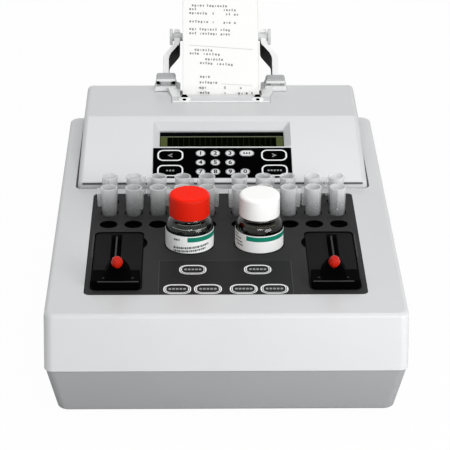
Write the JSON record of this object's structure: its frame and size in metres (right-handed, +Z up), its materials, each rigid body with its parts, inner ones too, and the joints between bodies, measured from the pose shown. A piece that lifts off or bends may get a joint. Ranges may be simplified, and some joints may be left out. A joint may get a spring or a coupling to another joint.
{
  "type": "coagulation analyzer",
  "caption": "Benchtop laboratory analyzer with a cuvette incubator tray, light-shielded measuring channels, sloped keypad and display, and a roll printer at the back.",
  "frame": {"origin": "under the middle of the bounding box, on the bench that the feet stand on", "axes": "+X to the right of a person who uses it, +Y from the front to the back, +Z up"},
  "size_m": [0.231, 0.3792, 0.1777],
  "materials": {
    "cover_plastic": "light grey, fine satin grain",
    "base_plastic": "mid grey, fine satin grain",
    "printer_trim_plastic": "light grey, satin",
    "foot_rubber": "dull black",
    "platen_rubber": "dull black",
    "tray_plastic": "anthracite, matt",
    "channel_plastic": "black, satin",
    "knob_plastic": "red, satin gloss",
    "key_plastic": "near black, satin",
    "keypad_foil": "black foil with white key marks",
    "heating_metal": "black anodised, dull",
    "cuvette_plastic": "clear, slightly frosted",
    "clear_glass": "clear with a pale paper label",
    "tinted_glass": "dark contents behind clear glass",
    "red_cap_plastic": "red, satin gloss",
    "white_cap_plastic": "white, satin gloss",
    "display_glass": "olive display with dark character cells",
    "board_laminate": "green, satin",
    "connector_plastic": "black",
    "connector_steel": "plated",
    "printer_steel": "dull, dark",
    "thermal_paper": "smooth white paper"
  },
  "bodies": {
    "housing": {"base_housing": "base_plastic", "top_cover": "cover_plastic", "front_left_foot": "foot_rubber", "rear_left_foot": "foot_rubber", "front_right_foot": "foot_rubber", "rear_right_foot": "foot_rubber", "work_tray": "tray_plastic", "heating_block": "heating_metal", "left_measuring_block": "channel_plastic", "right_measuring_block": "channel_plastic", "menu_keypad": "keypad_foil", "lcd_module": "display_glass", "main_board": "board_laminate", "power_inlet": "connector_plastic", "switch_frame": "connector_plastic", "serial_port": "connector_steel", "printer_bezel": "printer_trim_plastic", "printer_mechanism": "printer_steel", "paper_web": "thermal_paper", "left_roll_arm": "printer_trim_plastic", "right_roll_arm": "printer_trim_plastic"},
    "left_vial": {"left_vial": "clear_glass"},
    "left_vial_cap": {"left_vial_cap": "red_cap_plastic"},
    "left_shield": {"left_light_shield": "channel_plastic", "left_shield_knob": "knob_plastic"},
    "right_vial": {"right_vial": "tinted_glass"},
    "right_vial_cap": {"right_vial_cap": "white_cap_plastic"},
    "right_shield": {"right_light_shield": "channel_plastic", "right_shield_knob": "knob_plastic"},
    "left_incubate_key": {"left_incubate_key": "key_plastic"},
    "left_reset_key": {"left_reset_key": "key_plastic"},
    "left_start_key": {"left_start_key": "key_plastic"},
    "right_incubate_key": {"right_incubate_key": "key_plastic"},
    "right_reset_key": {"right_reset_key": "key_plastic"},
    "right_start_key": {"right_start_key": "key_plastic"},
    "power_rocker": {"power_rocker": "connector_plastic"},
    "paper_roll": {"paper_roll": "thermal_paper", "left_roll_pin": "printer_trim_plastic", "right_roll_pin": "printer_trim_plastic"},
    "platen": {"platen_roller": "platen_rubber"},
    "left_front_cuvette_1": {"left_front_cuvette_1": "cuvette_plastic"},
    "left_front_cuvette_2": {"left_front_cuvette_2": "cuvette_plastic"},
    "left_front_cuvette_3": {"left_front_cuvette_3": "cuvette_plastic"},
    "left_front_cuvette_4": {"left_front_cuvette_4": "cuvette_plastic"},
    "left_front_cuvette_5": {"left_front_cuvette_5": "cuvette_plastic"},
    "left_rear_cuvette_1": {"left_rear_cuvette_1": "cuvette_plastic"},
    "left_rear_cuvette_2": {"left_rear_cuvette_2": "cuvette_plastic"},
    "left_rear_cuvette_3": {"left_rear_cuvette_3": "cuvette_plastic"},
    "left_rear_cuvette_4": {"left_rear_cuvette_4": "cuvette_plastic"},
    "left_rear_cuvette_5": {"left_rear_cuvette_5": "cuvette_plastic"},
    "right_front_cuvette_1": {"right_front_cuvette_1": "cuvette_plastic"},
    "right_front_cuvette_2": {"right_front_cuvette_2": "cuvette_plastic"},
    "right_front_cuvette_3": {"right_front_cuvette_3": "cuvette_plastic"},
    "right_front_cuvette_4": {"right_front_cuvette_4": "cuvette_plastic"},
    "right_front_cuvette_5": {"right_front_cuvette_5": "cuvette_plastic"},
    "right_rear_cuvette_1": {"right_rear_cuvette_1": "cuvette_plastic"},
    "right_rear_cuvette_2": {"right_rear_cuvette_2": "cuvette_plastic"},
    "right_rear_cuvette_3": {"right_rear_cuvette_3": "cuvette_plastic"},
    "right_rear_cuvette_4": {"right_rear_cuvette_4": "cuvette_plastic"},
    "right_rear_cuvette_5": {"right_rear_cuvette_5": "cuvette_plastic"}
  },
  "joints": [
    {"name": "left_vial_lift", "type": "slide", "parent": "housing", "child": "left_vial", "axis": [0, 0, 1], "range_m": [0, 0.03]},
    {"name": "left_cap_lift", "type": "slide", "parent": "left_vial", "child": "left_vial_cap", "axis": [0, 0, 1], "range_m": [0, 0.015]},
    {"name": "left_shield_slide", "type": "slide", "parent": "housing", "child": "left_shield", "axis": [0, 1, 0], "range_m": [0, 0.058]},
    {"name": "right_vial_lift", "type": "slide", "parent": "housing", "child": "right_vial", "axis": [0, 0, 1], "range_m": [0, 0.03]},
    {"name": "right_cap_lift", "type": "slide", "parent": "right_vial", "child": "right_vial_cap", "axis": [0, 0, 1], "range_m": [0, 0.015]},
    {"name": "right_shield_slide", "type": "slide", "parent": "housing", "child": "right_shield", "axis": [0, 1, 0], "range_m": [0, 0.058]},
    {"name": "left_incubate_key_press", "type": "slide", "parent": "housing", "child": "left_incubate_key", "axis": [0, 0, -1], "range_m": [0, 0.0005], "stiffness_N_per_m": 600, "springref_m": -0.0005},
    {"name": "left_reset_key_press", "type": "slide", "parent": "housing", "child": "left_reset_key", "axis": [0, 0, -1], "range_m": [0, 0.0005], "stiffness_N_per_m": 600, "springref_m": -0.0005},
    {"name": "left_start_key_press", "type": "slide", "parent": "housing", "child": "left_start_key", "axis": [0, 0, -1], "range_m": [0, 0.0005], "stiffness_N_per_m": 600, "springref_m": -0.0005},
    {"name": "right_incubate_key_press", "type": "slide", "parent": "housing", "child": "right_incubate_key", "axis": [0, 0, -1], "range_m": [0, 0.0005], "stiffness_N_per_m": 600, "springref_m": -0.0005},
    {"name": "right_reset_key_press", "type": "slide", "parent": "housing", "child": "right_reset_key", "axis": [0, 0, -1], "range_m": [0, 0.0005], "stiffness_N_per_m": 600, "springref_m": -0.0005},
    {"name": "right_start_key_press", "type": "slide", "parent": "housing", "child": "right_start_key", "axis": [0, 0, -1], "range_m": [0, 0.0005], "stiffness_N_per_m": 600, "springref_m": -0.0005},
    {"name": "power_rocker_tilt", "type": "hinge", "parent": "housing", "child": "power_rocker", "pos_m": [-0.046, 0.14163, 0.056], "axis": [1, 0, 0], "range_deg": [0, 16]},
    {"name": "roll_spin", "type": "hinge", "parent": "housing", "child": "paper_roll", "pos_m": [0, 0.16686, 0.13052], "axis": [1, 0, 0], "continuous": true},
    {"name": "platen_spin", "type": "hinge", "parent": "housing", "child": "platen", "pos_m": [0, 0.1223, 0.0957], "axis": [1, 0, 0], "continuous": true},
    {"name": "left_front_cuvette_1_lift", "type": "slide", "parent": "housing", "child": "left_front_cuvette_1", "axis": [0, 0, 1], "range_m": [0, 0.04]},
    {"name": "left_front_cuvette_2_lift", "type": "slide", "parent": "housing", "child": "left_front_cuvette_2", "axis": [0, 0, 1], "range_m": [0, 0.04]},
    {"name": "left_front_cuvette_3_lift", "type": "slide", "parent": "housing", "child": "left_front_cuvette_3", "axis": [0, 0, 1], "range_m": [0, 0.04]},
    {"name": "left_front_cuvette_4_lift", "type": "slide", "parent": "housing", "child": "left_front_cuvette_4", "axis": [0, 0, 1], "range_m": [0, 0.04]},
    {"name": "left_front_cuvette_5_lift", "type": "slide", "parent": "housing", "child": "left_front_cuvette_5", "axis": [0, 0, 1], "range_m": [0, 0.04]},
    {"name": "left_rear_cuvette_1_lift", "type": "slide", "parent": "housing", "child": "left_rear_cuvette_1", "axis": [0, 0, 1], "range_m": [0, 0.04]},
    {"name": "left_rear_cuvette_2_lift", "type": "slide", "parent": "housing", "child": "left_rear_cuvette_2", "axis": [0, 0, 1], "range_m": [0, 0.04]},
    {"name": "left_rear_cuvette_3_lift", "type": "slide", "parent": "housing", "child": "left_rear_cuvette_3", "axis": [0, 0, 1], "range_m": [0, 0.04]},
    {"name": "left_rear_cuvette_4_lift", "type": "slide", "parent": "housing", "child": "left_rear_cuvette_4", "axis": [0, 0, 1], "range_m": [0, 0.04]},
    {"name": "left_rear_cuvette_5_lift", "type": "slide", "parent": "housing", "child": "left_rear_cuvette_5", "axis": [0, 0, 1], "range_m": [0, 0.04]},
    {"name": "right_front_cuvette_1_lift", "type": "slide", "parent": "housing", "child": "right_front_cuvette_1", "axis": [0, 0, 1], "range_m": [0, 0.04]},
    {"name": "right_front_cuvette_2_lift", "type": "slide", "parent": "housing", "child": "right_front_cuvette_2", "axis": [0, 0, 1], "range_m": [0, 0.04]},
    {"name": "right_front_cuvette_3_lift", "type": "slide", "parent": "housing", "child": "right_front_cuvette_3", "axis": [0, 0, 1], "range_m": [0, 0.04]},
    {"name": "right_front_cuvette_4_lift", "type": "slide", "parent": "housing", "child": "right_front_cuvette_4", "axis": [0, 0, 1], "range_m": [0, 0.04]},
    {"name": "right_front_cuvette_5_lift", "type": "slide", "parent": "housing", "child": "right_front_cuvette_5", "axis": [0, 0, 1], "range_m": [0, 0.04]},
    {"name": "right_rear_cuvette_1_lift", "type": "slide", "parent": "housing", "child": "right_rear_cuvette_1", "axis": [0, 0, 1], "range_m": [0, 0.04]},
    {"name": "right_rear_cuvette_2_lift", "type": "slide", "parent": "housing", "child": "right_rear_cuvette_2", "axis": [0, 0, 1], "range_m": [0, 0.04]},
    {"name": "right_rear_cuvette_3_lift", "type": "slide", "parent": "housing", "child": "right_rear_cuvette_3", "axis": [0, 0, 1], "range_m": [0, 0.04]},
    {"name": "right_rear_cuvette_4_lift", "type": "slide", "parent": "housing", "child": "right_rear_cuvette_4", "axis": [0, 0, 1], "range_m": [0, 0.04]},
    {"name": "right_rear_cuvette_5_lift", "type": "slide", "parent": "housing", "child": "right_rear_cuvette_5", "axis": [0, 0, 1], "range_m": [0, 0.04]}
  ],
  "couplings": [
    {"joint": "platen_spin", "follows": "roll_spin", "ratio": 3.4}
  ]
}
